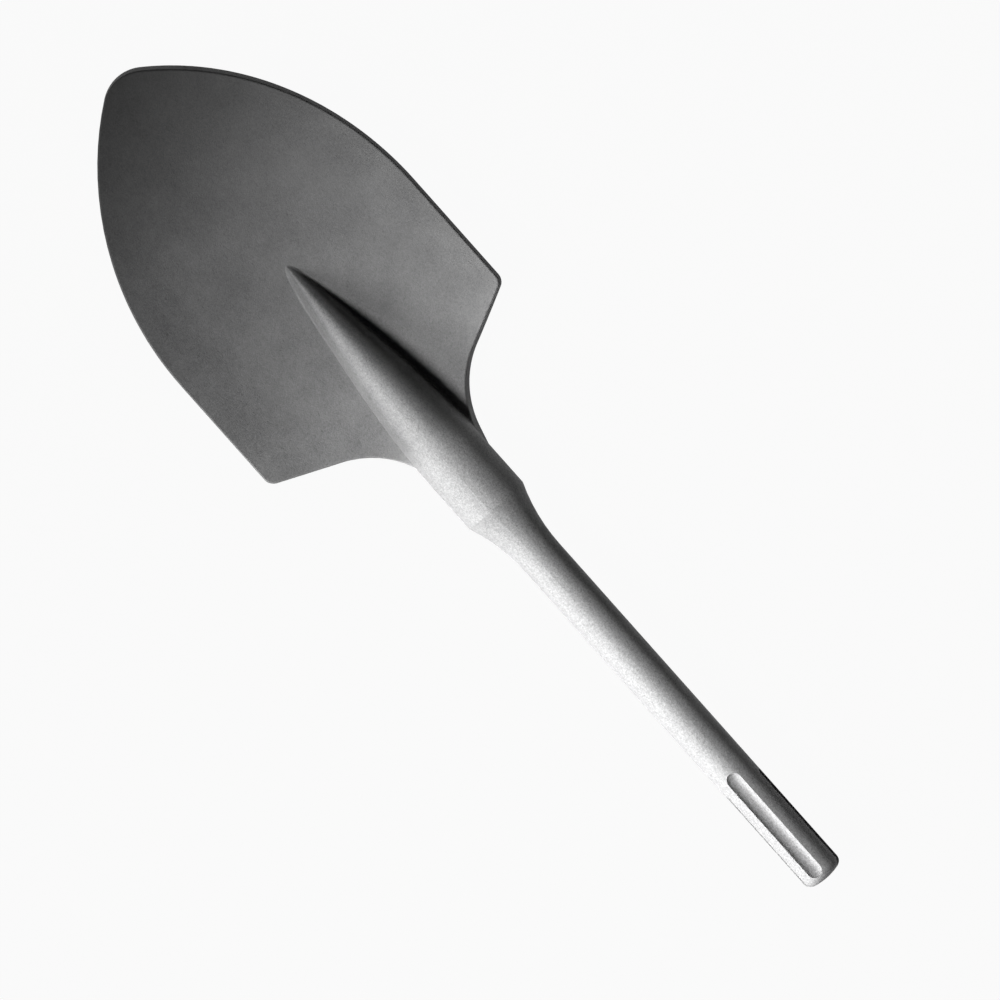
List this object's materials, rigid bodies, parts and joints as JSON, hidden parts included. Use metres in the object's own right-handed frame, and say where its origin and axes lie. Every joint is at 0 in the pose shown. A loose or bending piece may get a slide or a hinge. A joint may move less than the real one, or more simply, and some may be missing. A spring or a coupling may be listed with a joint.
{
  "type": "round spade chisel",
  "caption": "Forged steel round spade chisel with a dished round-nosed blade, a tapered rib and a slotted 18 mm hammer shank, for digging and lifting clay.",
  "frame": {"origin": "on the shank axis at the mouth of the hammer's holder, 100 mm from the struck end", "axes": "+X along the shank towards the blade's nose, +Y to the left across the blade, +Z out of the blade's hollow face"},
  "size_m": [0.4358, 0.1306, 0.029],
  "materials": {
    "forged_steel": "shot-blasted, fine grain"
  },
  "bodies": {
    "root": {"spade_chisel": "forged_steel"}
  },
  "joints": []
}
